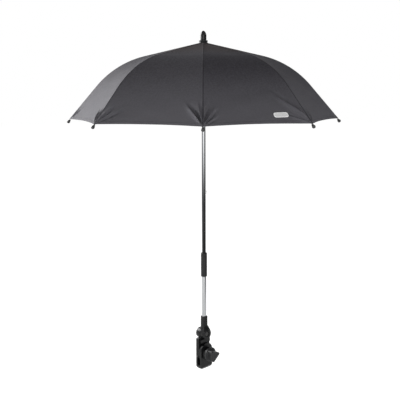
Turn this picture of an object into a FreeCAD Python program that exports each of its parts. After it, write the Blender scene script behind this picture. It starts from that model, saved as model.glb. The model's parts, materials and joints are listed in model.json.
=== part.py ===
import FreeCAD, Part
import math
import os

# Pram parasol. Millimetres, +Z up along the pole. The origin is the middle of the clamp's
# tube seat, +Y runs along the pram tube and +X along the clamp stud, towards the knob.

# Clearances and cutting
overrun = 2.0
running_gap = 0.06
pin_gap = 0.05
free_gap = 0.3
slide_gap = 0.08

# Clamp body and jaw
seat_radius = 5.0
leg_wall = 5.0
clamp_floor = 12.5
clamp_width = 41.5
clamp_corner_radius = 12.0
seat_side_rise = 12.0
legs_meet_height = 22.5
jaw_side_height = 35.25
jaw_head_gap = 1.0
boss_radius = 16.5
boss_rise = 9.0
head_width = 34.0
head_front = 5.5
head_rise = 9.3
head_chamfer = 1.5
back_rise = 4.2
neck_rise = 1.0
neck_width = 24.0

# Jaw hinge at the foot of the clamp
jaw_pin_radius = 1.6
jaw_pin_offset = 3.0
jaw_pin_end_inset = 1.5
jaw_knuckle_radius = 4.3
jaw_knuckle_inset = 0.8
jaw_knuckle_width = 13.0
jaw_split_deg = 97.0
body_split_deg = 101.0
jaw_under_deg = -80.0
body_under_deg = -112.0

# Stud, knob, insert and thrust washer
screw_height = 28.0
stud_radius = 3.0
stud_reach = 38.5
stud_head_radius = 6.2
stud_head_length = 3.6
jaw_slot_rise = 9.0
washer_radius = 10.0
washer_thickness = 0.9
knob_flange_radius = 19.0
knob_flange_length = 6.0
knob_length = 22.0
knob_lobe_count = 3
knob_lobe_radius = 4.0
knob_lobe_offset = 13.4
knob_lobe_turn_deg = 10.0
insert_radius = 5.0
insert_length = 12.0
insert_inset = 1.0
bore_end_room = 1.5

# Tilt knuckle
knuckle_radius = 14.2
knuckle_front = 12.0
knuckle_back = 17.0
friction_disc_radius = 13.0
friction_disc_thickness = 0.8
friction_gap = 0.1
hinge_bolt_radius = 3.0
bolt_head_radius = 5.2
bolt_head_length = 5.0
bolt_head_room = 2.2
bolt_head_inset = 1.0
bolt_key_width = 4.0
bolt_key_depth = 3.0
hinge_nut_width = 10.0
hinge_nut_length = 5.0
hinge_nut_inset = 0.5

# Tube socket
socket_thickness = 15.2
socket_width = 14.0
socket_corner_radius = 3.0
socket_gap = 1.8
socket_floor = 3.0
socket_depth = 30.5
socket_arm_rise = 22.0
arm_slope_rise = 9.0
socket_chamfer = 0.8
screw_shank_radius = 1.4
screw_head_radius = 2.6
screw_head_length = 1.2
screw_rise = 14.0

# Pole: lower tube, collar, upper tube
lower_tube_radius = 6.0
lower_tube_wall = 0.7
lower_tube_bare = 109.7
lower_tube_in_collar = 32.0
collar_radius = 8.2
collar_length = 65.3
collar_end_wall = 5.0
collar_chamfer = 1.4
collet_radius = 7.0
collet_end_room = 1.0
collet_slot_width = 1.2
collet_slot_length = 16.0
collet_slot_count = 4
upper_tube_radius = 5.0
upper_tube_wall = 0.8
upper_tube_overlap = 58.0
plug_flange = 5.0
plug_spigot = 14.0
mast_rise = 546.0

# Finial and its ring
ring_radius = 11.4
ring_height = 6.6
ring_edge_radius = 1.6
cloth_clamp_gap = 0.4
finial_radius = 7.9
finial_side = 6.0
finial_ogive_radius = 29.0
finial_nose_radius = 3.2
finial_bore_depth = 8.0

# Crown and rib hinges
rib_count = 8
pivot_radius = 11.0
pivot_drop = 7.0
crown_radius = 14.0
crown_hub_radius = 8.0
crown_below_pivot = 6.5
crown_above_pivot = 4.6
crown_neck_radius = 9.0
hinge_pin_radius = 0.8
hinge_pin_length = 6.0
eye_thickness = 1.5
eye_slot_width = 1.9
eye_radius = 2.3

# Canopy cloth, as its outer line in the plane of a rib
cloth_thickness = 0.8
cloth_hole_radius = 10.0
inner_slope_deg = 13.0
outer_slope_deg = 49.0
bend_start_radius = 150.0
bend_radius = 235.0
cloth_radius = 347.6
hem_rise = 6.0
gore_hollow = 4.0
gore_split_gap = 0.5
straight_stations = 5
bend_stations = 9

# Ribs, tips and stretchers
rib_radius = 1.3
rib_cloth_gap = 0.5
rib_eye_reach = 12.0
tip_overhang = 6.6
tip_ball_radius = 4.3
tip_neck_radius = 2.3
tip_neck_length = 1.8
joint_radius = 169.0
joint_drop = 4.5
joint_cheek = 1.0
cheek_radius = 2.2
cheek_slot_radius = 3.0
runner_drop = 98.48
stretcher_radius = 1.2
stretcher_eye_reach = 11.0
fold_deg = 58.0

# Runner and its spring catches
runner_pivot_radius = 11.0
runner_radius = 14.0
runner_hub_radius = 8.0
runner_ring_half = 4.5
runner_sleeve = 34.0
runner_foot_radius = 10.5
runner_foot_height = 3.0
catch_thickness = 1.6
catch_slot_gap = 0.2
catch_reach = 2.6
catch_height = 12.0
catch_leg_width = 1.4
catch_leg_length = 16.0
catch_foot_height = 5.0
catch_turn_deg = 22.5

# Heights, each stacked on the one below
jaw_top = jaw_side_height + clamp_width / 2
head_base = jaw_top + jaw_head_gap
head_top = head_base + head_rise
hinge_height = head_top + neck_rise + knuckle_radius
socket_base = hinge_height + knuckle_radius + socket_gap
tube_seat = socket_base + socket_floor
socket_top = tube_seat + socket_depth
collar_base = socket_top + lower_tube_bare
collar_top = collar_base + collar_length
lower_tube_top = collar_base + lower_tube_in_collar
upper_tube_base = lower_tube_top - upper_tube_overlap
canopy_top = collar_top + mast_rise
ring_base = canopy_top + cloth_clamp_gap
ring_top = ring_base + ring_height
pivot_height = canopy_top - pivot_drop

# Distances from the pole axis along the stud and hinge
clamp_half = seat_radius + leg_wall
legs_half_gap = free_gap / 2
pin_height = jaw_knuckle_radius + jaw_knuckle_inset - seat_radius - clamp_floor
boss_face = clamp_half + boss_rise
washer_face = boss_face + pin_gap
knob_base = washer_face + washer_thickness + pin_gap
lower_disc_face = -friction_disc_thickness - friction_gap
rib_turn_deg = 360.0 / rib_count
half_gore_deg = rib_turn_deg / 2

X_AXIS = FreeCAD.Vector(1, 0, 0)
Y_AXIS = FreeCAD.Vector(0, 1, 0)
Z_AXIS = FreeCAD.Vector(0, 0, 1)
ORIGIN = FreeCAD.Vector(0, 0, 0)


def at(x, y, z):
    return FreeCAD.Vector(x, y, z)


def rod(radius, start, end):
    """A round bar from one point to another."""
    run = end.sub(start)
    return Part.makeCylinder(radius, run.Length, start, run)


def prism(points, run):
    """A straight prism on a closed outline."""
    return Part.Face(Part.makePolygon(points + [points[0]])).extrude(run)


def turned(edges):
    """A solid of revolution about the pole from edges in the XZ plane."""
    return Part.Face(Part.Wire(edges)).revolve(ORIGIN, Z_AXIS, 360)


def turned_outline(pairs):
    """A solid of revolution about the pole from (radius, height) corners."""
    corners = [at(r, 0, z) for r, z in pairs]
    return turned(Part.makePolygon(corners + [corners[0]]).Edges)


def fused(shapes):
    return shapes[0].multiFuse(shapes[1:]).removeSplitter()


def hull(first, first_radius, second, second_radius, thickness):
    """A flat link in the XZ plane, centred on it, around two circles of different sizes."""
    run = second.sub(first)
    lean = math.acos((first_radius - second_radius) / run.Length)
    heading = math.atan2(run.z, run.x)
    corners = []
    for centre, radius, sides in ((first, first_radius, (1, -1)), (second, second_radius, (-1, 1))):
        for side in sides:
            turn = heading + side * lean
            corners.append(centre.add(at(radius * math.cos(turn), 0, radius * math.sin(turn))))
    base = at(0, -thickness / 2, 0)
    run_y = at(0, thickness, 0)
    pieces = [prism([corner.add(base) for corner in corners], run_y)]
    for centre, radius in ((first, first_radius), (second, second_radius)):
        start = centre.add(base)
        pieces.append(rod(radius, start, start.add(run_y)))
    return fused(pieces)


def hexagon(width, start, length):
    """A hexagonal bar along +X, given its width across flats."""
    corner = width / 2 / math.cos(math.radians(30))
    points = []
    for i in range(6):
        turn = math.radians(60 * i)
        points.append(start.add(at(0, corner * math.cos(turn), corner * math.sin(turn))))
    return prism(points, at(length, 0, 0))


def around_pole(shape, turn_deg):
    copy = shape.copy()
    copy.rotate(ORIGIN, Z_AXIS, turn_deg)
    return copy


# Canopy line in the plane of a rib

inner_turn = math.radians(inner_slope_deg)
outer_turn = math.radians(outer_slope_deg)
bend_length = bend_radius * (outer_turn - inner_turn)
inner_length = (bend_start_radius - cloth_hole_radius) / math.cos(inner_turn)
bend_end_radius = bend_start_radius + bend_radius * (math.sin(outer_turn) - math.sin(inner_turn))
outer_length = (cloth_radius - bend_end_radius) / math.cos(outer_turn)
cloth_length = inner_length + bend_length + outer_length
bend_start_height = canopy_top - (bend_start_radius - ring_radius) * math.tan(inner_turn)


def slope_at(run):
    """The cloth's fall angle at a distance along it from the hole."""
    bent = min(max(run - inner_length, 0), bend_length)
    return inner_turn + bent / bend_radius


def canopy_line(run, depth):
    """A point under the cloth's outer face, at a distance along it and a depth below it."""
    turn = slope_at(run)
    before = min(run - inner_length, 0)
    after = max(run - inner_length - bend_length, 0)
    straight = before + after
    radius = bend_start_radius + bend_radius * (math.sin(turn) - math.sin(inner_turn))
    height = bend_start_height - bend_radius * (math.cos(inner_turn) - math.cos(turn))
    radius += straight * math.cos(turn) - depth * math.sin(turn)
    height -= straight * math.sin(turn) + depth * math.cos(turn)
    return at(radius, 0, height)


def run_at_radius(radius, depth):
    """The distance along the cloth at which a line at this depth reaches a radius."""
    low = 0.0
    high = 2 * cloth_length
    for _ in range(60):
        middle = (low + high) / 2
        if canopy_line(middle, depth).x < radius:
            low = middle
        else:
            high = middle
    return low


# Rib linkage, in the plane of a rib

rib_depth = cloth_thickness + rib_cloth_gap + rib_radius
pivot = at(pivot_radius, 0, pivot_height)
joint_run = run_at_radius(joint_radius, rib_depth)
joint_on_rib = canopy_line(joint_run, rib_depth + rib_cloth_gap)
joint = canopy_line(joint_run, rib_depth + joint_drop)
tip_run = cloth_length + tip_overhang
tip = canopy_line(tip_run, rib_depth)
stretcher_length = math.hypot(joint.x - runner_pivot_radius, runner_drop)


def runner_pivot_for(rib_joint):
    """The stretcher's inner end, on the runner's pivot radius below the rib joint."""
    inset = rib_joint.x - runner_pivot_radius
    return at(runner_pivot_radius, 0, rib_joint.z - math.sqrt(stretcher_length**2 - inset**2))


def folded(point):
    copy = FreeCAD.Vector(point)
    turn = FreeCAD.Rotation(Y_AXIS, fold_deg)
    return pivot.add(turn.multVec(copy.sub(pivot)))


runner_pivot = runner_pivot_for(joint)
runner_pivot_folded = runner_pivot_for(folded(joint))


# Clamp

jaw_pin = at(jaw_pin_offset, 0, pin_height)
far = clamp_width + hinge_height


def strap_blank():
    """Both legs and the bend under the seat, before they are parted."""
    half = clamp_width / 2
    bend_height = clamp_half - seat_radius - clamp_floor
    legs = Part.makeBox(
        2 * clamp_half, clamp_width, head_top - bend_height, at(-clamp_half, -half, bend_height)
    )
    return legs.fuse(rod(clamp_half, at(0, -half, bend_height), at(0, half, bend_height)))


def seat_cut():
    """The tube seat, its sides, and the slit where the legs meet."""
    start = -clamp_width / 2 - overrun
    run = at(0, clamp_width + 2 * overrun, 0)
    half = [
        (seat_radius, 0),
        (seat_radius, seat_side_rise),
        (legs_half_gap, legs_meet_height),
        (legs_half_gap, head_top + overrun),
    ]
    points = [at(x, start, z) for x, z in half] + [at(-x, start, z) for x, z in reversed(half)]
    return rod(seat_radius, at(0, start, 0), at(0, -start, 0)).fuse(prism(points, run))


def side_region(side, split_deg, under_deg):
    """Everything on one side of the line on which jaw and body part."""
    start = -clamp_width
    split = math.radians(split_deg)
    under = math.radians(under_deg)
    split_top = jaw_pin.x - jaw_pin.z / math.tan(split)
    points = [
        at(jaw_pin.x, start, jaw_pin.z),
        at(split_top, start, 0),
        at(0, start, seat_side_rise),
        at(0, start, far),
        at(side * far, start, far),
        at(side * far, start, -far),
        at(jaw_pin.x + far * math.cos(under), start, jaw_pin.z + far * math.sin(under)),
    ]
    return prism(points, at(0, 2 * clamp_width, 0))


def front_outline(half_top, shoulder, top, arched):
    """A piece's outline seen along the stud, as a block to trim it with."""
    half = clamp_width / 2
    base = -seat_radius - clamp_floor
    corner = clamp_corner_radius
    slant = corner * math.sqrt(0.5)
    low = at(-far, -half + corner, base)
    edges = []
    corners = [at(-far, half - corner, base), at(-far, half, base + corner)]
    bulge = at(-far, half - corner + slant, base + corner - slant)
    edges.append(Part.LineSegment(low, corners[0]).toShape())
    edges.append(Part.Arc(corners[0], bulge, corners[1]).toShape())
    if arched:
        left = at(-far, -half, shoulder)
        right = at(-far, half, shoulder)
        edges.append(Part.LineSegment(corners[1], right).toShape())
        edges.append(Part.Arc(right, at(-far, 0, shoulder + half), left).toShape())
    else:
        path = [corners[1], at(-far, half, shoulder), at(-far, half_top, top), at(-far, -half_top, top)]
        left = at(-far, -half, shoulder)
        edges += Part.makePolygon(path + [left]).Edges
    foot = at(-far, -half, base + corner)
    edges.append(Part.LineSegment(left, foot).toShape())
    edges.append(Part.Arc(foot, at(-far, -bulge.y, bulge.z), low).toShape())
    return Part.Face(Part.Wire(edges)).extrude(at(2 * far, 0, 0))


def jaw_pin_rod(radius, half_length, centre_y):
    start = jaw_pin.add(at(0, centre_y - half_length, 0))
    return rod(radius, start, start.add(at(0, 2 * half_length, 0)))


def make_clamp_body():
    strap = strap_blank().cut(seat_cut()).common(side_region(-1, body_split_deg, body_under_deg))
    head = Part.makeBox(
        clamp_half + head_front, head_width, head_rise, at(-clamp_half, -head_width / 2, head_base)
    )
    back = Part.makeBox(
        clamp_half + lower_disc_face, clamp_width, back_rise, at(-clamp_half, -clamp_width / 2, head_top)
    )
    half_top = clamp_width / 2 - head_chamfer
    back_top = head_top + back_rise
    outline = front_outline(half_top, back_top - head_chamfer, back_top, False)
    body = fused([strap, head, back]).common(outline)
    outer_width = (clamp_width - jaw_knuckle_width) / 2
    for side in (1, -1):
        centre = side * (jaw_knuckle_width + outer_width) / 2
        body = body.cut(jaw_pin_rod(jaw_knuckle_radius + free_gap, outer_width / 2 + free_gap / 2, centre))
    body = body.fuse(jaw_pin_rod(jaw_knuckle_radius, jaw_knuckle_width / 2 - free_gap / 2, 0))
    neck = Part.makeBox(
        clamp_half + lower_disc_face,
        neck_width,
        hinge_height - head_top + overrun,
        at(-clamp_half, -neck_width / 2, head_top - overrun),
    )
    disc = rod(knuckle_radius, at(-knuckle_back, 0, hinge_height), at(lower_disc_face, 0, hinge_height))
    body = fused([body, neck, disc])
    body = body.cut(jaw_pin_rod(jaw_pin_radius, clamp_width, 0))
    stud_bore = rod(stud_radius + pin_gap, at(-far, 0, screw_height), at(far, 0, screw_height))
    head_end = -clamp_half + stud_head_length
    stud_recess = rod(stud_head_radius + pin_gap, at(-far, 0, screw_height), at(head_end, 0, screw_height))
    bolt_bore = rod(hinge_bolt_radius + pin_gap, at(-far, 0, hinge_height), at(far, 0, hinge_height))
    nut_start = -knuckle_back - overrun
    nut_run = overrun + hinge_nut_inset + hinge_nut_length
    nut_pocket = hexagon(hinge_nut_width + 2 * pin_gap, at(nut_start, 0, hinge_height), nut_run)
    return body.cut(stud_bore).cut(stud_recess).cut(bolt_bore).cut(nut_pocket)


def make_clamp_jaw():
    strap = strap_blank().cut(seat_cut()).common(side_region(1, jaw_split_deg, jaw_under_deg))
    strap = strap.cut(jaw_pin_rod(jaw_knuckle_radius + free_gap, jaw_knuckle_width / 2 + free_gap / 2, 0))
    boss_start = at(clamp_half - overrun, 0, screw_height)
    boss = rod(boss_radius, boss_start, at(boss_face, 0, screw_height))
    outline = front_outline(0, jaw_side_height, jaw_top, True)
    pieces = [strap.common(outline), boss]
    outer_width = (clamp_width - jaw_knuckle_width) / 2 - clamp_corner_radius / 2
    for side in (1, -1):
        centre = side * (jaw_knuckle_width + outer_width) / 2
        knuckle = jaw_pin_rod(jaw_knuckle_radius, outer_width / 2 - free_gap / 2, centre)
        pieces.append(knuckle.common(outline))
    jaw = fused(pieces).cut(jaw_pin_rod(jaw_pin_radius + pin_gap, clamp_width, 0))
    slot_half = stud_radius + free_gap
    low = at(0, 0, screw_height)
    high = at(0, 0, screw_height + jaw_slot_rise)
    slot = Part.makeBox(far, 2 * slot_half, jaw_slot_rise, at(0, -slot_half, screw_height))
    ends = [rod(slot_half, point, point.add(at(far, 0, 0))) for point in (low, high)]
    return jaw.cut(fused([slot] + ends))


def make_jaw_pin():
    return jaw_pin_rod(jaw_pin_radius, clamp_width / 2 - clamp_corner_radius / 2 - jaw_pin_end_inset, 0)


def make_clamp_stud():
    head_end = -clamp_half + stud_head_length
    head = rod(stud_head_radius, at(-clamp_half, 0, screw_height), at(head_end, 0, screw_height))
    return fused([head, rod(stud_radius, at(head_end, 0, screw_height), at(stud_reach, 0, screw_height))])


def make_knob_washer():
    start = at(washer_face, 0, screw_height)
    end = start.add(at(washer_thickness, 0, 0))
    return rod(washer_radius, start, end).cut(rod(stud_radius + pin_gap, start, end))


def make_knob():
    start = at(knob_base, 0, screw_height)
    flange_end = start.add(at(knob_flange_length, 0, 0))
    end = start.add(at(knob_length, 0, 0))
    pieces = [rod(knob_flange_radius, start, flange_end)]
    centres = []
    for i in range(knob_lobe_count):
        turn = math.radians(knob_lobe_turn_deg + 360.0 * i / knob_lobe_count)
        offset = at(0, knob_lobe_offset * math.cos(turn), knob_lobe_offset * math.sin(turn))
        centres.append(start.add(offset))
        pieces.append(rod(knob_lobe_radius, centres[-1], end.add(offset)))
    outline = []
    for i in range(knob_lobe_count):
        ahead = centres[(i + 1) % knob_lobe_count]
        side = ahead.sub(centres[i]).normalize().cross(X_AXIS).multiply(knob_lobe_radius)
        outline += [centres[i].add(side), ahead.add(side)]
    pieces.append(prism(outline, at(knob_length, 0, 0)))
    grip = fused(pieces)
    pocket = rod(insert_radius, start, start.add(at(insert_inset + insert_length, 0, 0)))
    bore = rod(stud_radius + pin_gap, start, at(stud_reach + bore_end_room, 0, screw_height))
    return grip.cut(pocket).cut(bore)


def make_knob_insert():
    start = at(knob_base + insert_inset, 0, screw_height)
    end = start.add(at(insert_length, 0, 0))
    return rod(insert_radius, start, end).cut(rod(stud_radius + pin_gap, start, end))


# Tilt knuckle and tube socket


def bolt_seat():
    return knuckle_front - bolt_head_inset - bolt_head_length


def make_hinge_bolt():
    head_start = at(bolt_seat(), 0, hinge_height)
    head_end = head_start.add(at(bolt_head_length, 0, 0))
    shank_start = at(-knuckle_back + hinge_nut_inset, 0, hinge_height)
    head = rod(bolt_head_radius, head_start, head_end)
    bolt = fused([head, rod(hinge_bolt_radius, shank_start, head_start)])
    key_start = head_end.sub(at(bolt_key_depth, 0, 0))
    return bolt.cut(hexagon(bolt_key_width, key_start, bolt_key_depth + overrun))


def make_hinge_nut():
    start = at(-knuckle_back + hinge_nut_inset, 0, hinge_height)
    end = start.add(at(hinge_nut_length, 0, 0))
    return hexagon(hinge_nut_width, start, hinge_nut_length).cut(rod(hinge_bolt_radius, start, end))


def make_friction_disc():
    start = at(-friction_disc_thickness - friction_gap / 2, 0, hinge_height)
    end = start.add(at(friction_disc_thickness, 0, 0))
    return rod(friction_disc_radius, start, end).cut(rod(hinge_bolt_radius + pin_gap, start, end))


def socket_block():
    """The upright block that holds the tube, with rounded corners and a bevelled mouth."""
    block = Part.makeBox(
        socket_thickness,
        socket_width,
        socket_top - socket_base,
        at(-socket_thickness / 2, -socket_width / 2, socket_base),
    )
    upright = [edge for edge in block.Edges if edge.BoundBox.ZLength > socket_chamfer]
    block = block.makeFillet(socket_corner_radius, upright)
    mouth = [edge for edge in block.Edges if edge.BoundBox.ZMin > socket_top - socket_chamfer]
    return block.makeChamfer(socket_chamfer, mouth)


def make_tube_socket():
    face = friction_gap / 2
    arm_top = hinge_height + socket_arm_rise
    arm = hull(
        at(0, 0, hinge_height), knuckle_radius, at(0, 0, arm_top), socket_width / 2, knuckle_front - face
    )
    arm.rotate(ORIGIN, Z_AXIS, 90)
    arm.translate(at((knuckle_front + face) / 2, 0, 0))
    reach = [
        (face, hinge_height - knuckle_radius - overrun),
        (knuckle_front, hinge_height - knuckle_radius - overrun),
        (knuckle_front, hinge_height + arm_slope_rise),
        (socket_thickness / 2, arm_top),
        (face, arm_top),
    ]
    arm = arm.common(prism([at(x, -far, z) for x, z in reach], at(0, 2 * far, 0)))
    socket = fused([arm, socket_block()])
    socket = socket.cut(rod(lower_tube_radius, at(0, 0, tube_seat), at(0, 0, socket_top + overrun)))
    bolt_bore = rod(hinge_bolt_radius + pin_gap, at(0, 0, hinge_height), at(far, 0, hinge_height))
    head_seat = at(bolt_seat(), 0, hinge_height)
    head_room = rod(bolt_head_radius + bolt_head_room, head_seat, at(far, 0, hinge_height))
    return socket.cut(bolt_bore).cut(head_room).cut(socket_screw_bore())


def socket_screw_bore():
    height = tube_seat + screw_rise
    outside = at(-socket_thickness / 2 - overrun, 0, height)
    return rod(screw_shank_radius, outside, at(0, 0, height))


def make_socket_screw():
    height = tube_seat + screw_rise
    seat = at(-socket_thickness / 2, 0, height)
    shank_end = at(-lower_tube_radius + lower_tube_wall, 0, height)
    head = rod(screw_head_radius, seat.sub(at(screw_head_length, 0, 0)), seat)
    return fused([head, rod(screw_shank_radius, seat, shank_end)]).cut(
        rod(lower_tube_radius - lower_tube_wall, at(0, 0, tube_seat), at(0, 0, socket_top))
    )


# Pole


def make_lower_tube():
    start = at(0, 0, tube_seat)
    end = at(0, 0, lower_tube_top)
    bore = lower_tube_radius - lower_tube_wall
    return rod(lower_tube_radius, start, end).cut(rod(bore, start, end)).cut(socket_screw_bore())


def make_lock_collet():
    base = collar_base + collar_end_wall + collet_end_room
    top = collar_top - collar_end_wall - collet_end_room
    slide = upper_tube_radius + slide_gap
    collet = turned_outline([
        (lower_tube_radius, base),
        (collet_radius, base),
        (collet_radius, top),
        (slide, top),
        (slide, lower_tube_top),
        (lower_tube_radius, lower_tube_top),
    ])
    for i in range(collet_slot_count // 2):
        slot = Part.makeBox(
            4 * collet_radius,
            collet_slot_width,
            collet_slot_length + overrun,
            at(-2 * collet_radius, -collet_slot_width / 2, top - collet_slot_length),
        )
        collet = collet.cut(around_pole(slot, 360.0 * i / collet_slot_count))
    return collet


def make_lock_collar():
    inner = collet_radius + running_gap
    edge = collar_radius - collar_chamfer
    lower_lip = lower_tube_radius + free_gap
    upper_lip = upper_tube_radius + free_gap
    return turned_outline([
        (lower_lip, collar_base),
        (edge, collar_base),
        (collar_radius, collar_base + collar_chamfer),
        (collar_radius, collar_top - collar_chamfer),
        (edge, collar_top),
        (upper_lip, collar_top),
        (upper_lip, collar_top - collar_end_wall),
        (inner, collar_top - collar_end_wall),
        (inner, collar_base + collar_end_wall),
        (lower_lip, collar_base + collar_end_wall),
    ])


def catch_top(pivot_z):
    """The height on which the runner's foot rests when its pivots are at this height."""
    return pivot_z - runner_ring_half - runner_sleeve - runner_foot_height - pin_gap


def catch_slot(pivot_z):
    top = catch_top(pivot_z) + catch_slot_gap
    width = catch_thickness + 2 * catch_slot_gap
    length = catch_height + 2 * catch_slot_gap
    slot = Part.makeBox(2 * upper_tube_radius, width, length, at(0, -width / 2, top - length))
    return around_pole(slot, catch_turn_deg)


def make_catch(pivot_z):
    """A flat spring: a foot across the bore, a leg, and a nose through the slot."""
    top = catch_top(pivot_z)
    bore = upper_tube_radius - upper_tube_wall - pin_gap
    leg_top = top - catch_height
    foot_top = leg_top - catch_leg_length
    leg_back = bore - catch_leg_width
    outline = [
        (-bore, foot_top - catch_foot_height),
        (bore, foot_top - catch_foot_height),
        (bore, leg_top),
        (upper_tube_radius, leg_top),
        (upper_tube_radius + catch_reach, top - catch_reach),
        (upper_tube_radius + catch_reach, top),
        (leg_back, top),
        (leg_back, foot_top),
        (-bore, foot_top),
    ]
    start = -catch_thickness / 2
    plate = prism([at(x, start, z) for x, z in outline], at(0, catch_thickness, 0))
    plate = plate.common(rod(bore, at(0, 0, 0), at(0, 0, canopy_top)).fuse(
        Part.makeBox(2 * collar_radius, catch_thickness, catch_height, at(leg_back, start, leg_top))
    ))
    return around_pole(plate, catch_turn_deg)


def make_upper_tube():
    start = at(0, 0, upper_tube_base)
    end = at(0, 0, ring_top + finial_bore_depth)
    shell = rod(upper_tube_radius, start, end).cut(rod(upper_tube_radius - upper_tube_wall, start, end))
    for pivot_z in (runner_pivot.z, runner_pivot_folded.z):
        shell = shell.cut(catch_slot(pivot_z))
    return shell


def make_tube_plug():
    guide = lower_tube_radius - lower_tube_wall - running_gap
    bore = upper_tube_radius - upper_tube_wall
    flange = rod(guide, at(0, 0, upper_tube_base - plug_flange), at(0, 0, upper_tube_base))
    return fused([flange, rod(bore, at(0, 0, upper_tube_base), at(0, 0, upper_tube_base + plug_spigot))])


# Finial


def make_finial_ring():
    edge = ring_edge_radius
    slant = edge * (1 - math.sqrt(0.5))
    outer = ring_radius
    corners = [
        at(upper_tube_radius, 0, ring_base),
        at(outer, 0, ring_base),
        at(outer, 0, ring_top - edge),
        at(outer - edge, 0, ring_top),
        at(upper_tube_radius, 0, ring_top),
    ]
    edges = [
        Part.LineSegment(corners[0], corners[1]).toShape(),
        Part.LineSegment(corners[1], corners[2]).toShape(),
        Part.Arc(corners[2], at(outer - slant, 0, ring_top - slant), corners[3]).toShape(),
        Part.LineSegment(corners[3], corners[4]).toShape(),
        Part.LineSegment(corners[4], corners[0]).toShape(),
    ]
    return turned(edges)


def make_finial():
    """A bullet: a short straight side, an ogive that draws it in, and a round nose."""
    side_top = ring_top + finial_side
    inset = finial_ogive_radius - finial_radius
    nose_rise = math.sqrt((finial_ogive_radius - finial_nose_radius) ** 2 - inset**2)
    lean = math.atan2(nose_rise, inset)
    ogive = []
    for turn in (0, lean / 2, lean):
        radius = finial_ogive_radius * math.cos(turn) - inset
        ogive.append(at(radius, 0, side_top + finial_ogive_radius * math.sin(turn)))
    foot = [at(0, 0, ring_top), at(finial_radius, 0, ring_top)]
    neck = at(0, 0, ogive[2].z)
    edges = Part.makePolygon([neck] + foot + [ogive[0]]).Edges
    edges.append(Part.Arc(*ogive).toShape())
    edges.append(Part.LineSegment(ogive[2], neck).toShape())
    nose = Part.makeSphere(finial_nose_radius, at(0, 0, side_top + nose_rise))
    bore = rod(upper_tube_radius, at(0, 0, ring_top), at(0, 0, ring_top + finial_bore_depth))
    return fused([turned(edges), nose]).cut(bore)


# Crown, pins and runner


def eye_slots(shape, hub_radius, base, top, reach):
    """Cut one radial slot for each rib, from the hub outwards."""
    for i in range(rib_count):
        slot = Part.makeBox(
            reach, eye_slot_width, top - base, at(hub_radius, -eye_slot_width / 2, base)
        )
        shape = shape.cut(around_pole(slot, rib_turn_deg * i))
    return shape


def hinge_pin():
    half = at(0, hinge_pin_length / 2, 0)
    return rod(hinge_pin_radius, pivot.sub(half), pivot.add(half))


def make_crown():
    base = pivot_height - crown_below_pivot
    top = pivot_height + crown_above_pivot
    crown = turned_outline([
        (upper_tube_radius, base),
        (crown_radius, base),
        (crown_radius, top),
        (crown_neck_radius, top),
        (crown_neck_radius, ring_base),
        (upper_tube_radius, ring_base),
    ])
    crown = eye_slots(crown, crown_hub_radius, base - overrun, top, crown_radius)
    for i in range(rib_count):
        crown = crown.cut(around_pole(hinge_pin(), rib_turn_deg * i))
    return crown


def make_rib_pins():
    return Part.makeCompound([around_pole(hinge_pin(), rib_turn_deg * i) for i in range(rib_count)])


def make_runner():
    z = runner_pivot.z
    slide = upper_tube_radius + slide_gap
    ring_low = z - runner_ring_half
    ring_high = z + runner_ring_half
    sleeve_low = ring_low - runner_sleeve
    foot_low = sleeve_low - runner_foot_height
    runner = turned_outline([
        (slide, foot_low),
        (runner_foot_radius, foot_low),
        (runner_foot_radius, sleeve_low),
        (runner_hub_radius, sleeve_low),
        (runner_hub_radius, ring_low),
        (runner_radius, ring_low),
        (runner_radius, ring_high),
        (slide, ring_high),
    ])
    return eye_slots(runner, runner_hub_radius, ring_low - overrun, ring_high + overrun, runner_radius)


# Ribs, tips and stretchers, each made in the XZ plane and turned about the pole


def rib_wire(first_run):
    """The rib's round wire: straight, bent about the canopy line's own centre, then straight."""
    bend_high = inner_length + bend_length
    runs = (first_run, inner_length, bend_high, tip_run)
    points = [canopy_line(run, rib_depth) for run in runs]
    centre = canopy_line(inner_length, bend_radius)
    heading = points[1].sub(points[0])
    disc = Part.Face(Part.Wire(Part.makeCircle(rib_radius, points[1], heading)))
    bend = disc.revolve(centre, Y_AXIS, outer_slope_deg - inner_slope_deg)
    return fused([rod(rib_radius, points[0], points[1]), bend, rod(rib_radius, points[2], points[3])])


def make_rib():
    first_run = run_at_radius(pivot.x + rib_eye_reach - overrun, rib_depth)
    wire = rib_wire(first_run)
    eye = hull(pivot, eye_radius, canopy_line(first_run + overrun, rib_depth), rib_radius, eye_thickness)
    bracket_width = eye_slot_width + 2 * joint_cheek
    bracket = hull(joint_on_rib, joint_cheek, joint, cheek_radius, bracket_width)
    slot = across(joint, cheek_slot_radius, eye_slot_width)
    rib = fused([wire, eye, bracket.cut(slot)])
    rib = rib.cut(across(pivot, hinge_pin_radius + pin_gap, crown_radius))
    return rib.cut(across(joint, hinge_pin_radius + pin_gap, crown_radius))


def across(point, radius, length):
    """A short bar across the rib's plane."""
    half = at(0, length / 2, 0)
    return rod(radius, point.sub(half), point.add(half))


def make_rib_tip():
    inward = canopy_line(tip_run - tip_neck_length - tip_ball_radius, rib_depth)
    ball = Part.makeSphere(tip_ball_radius, tip)
    cap = fused([ball, rod(tip_neck_radius, inward, tip)])
    return cap.cut(rod(rib_radius, inward, tip))


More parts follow.
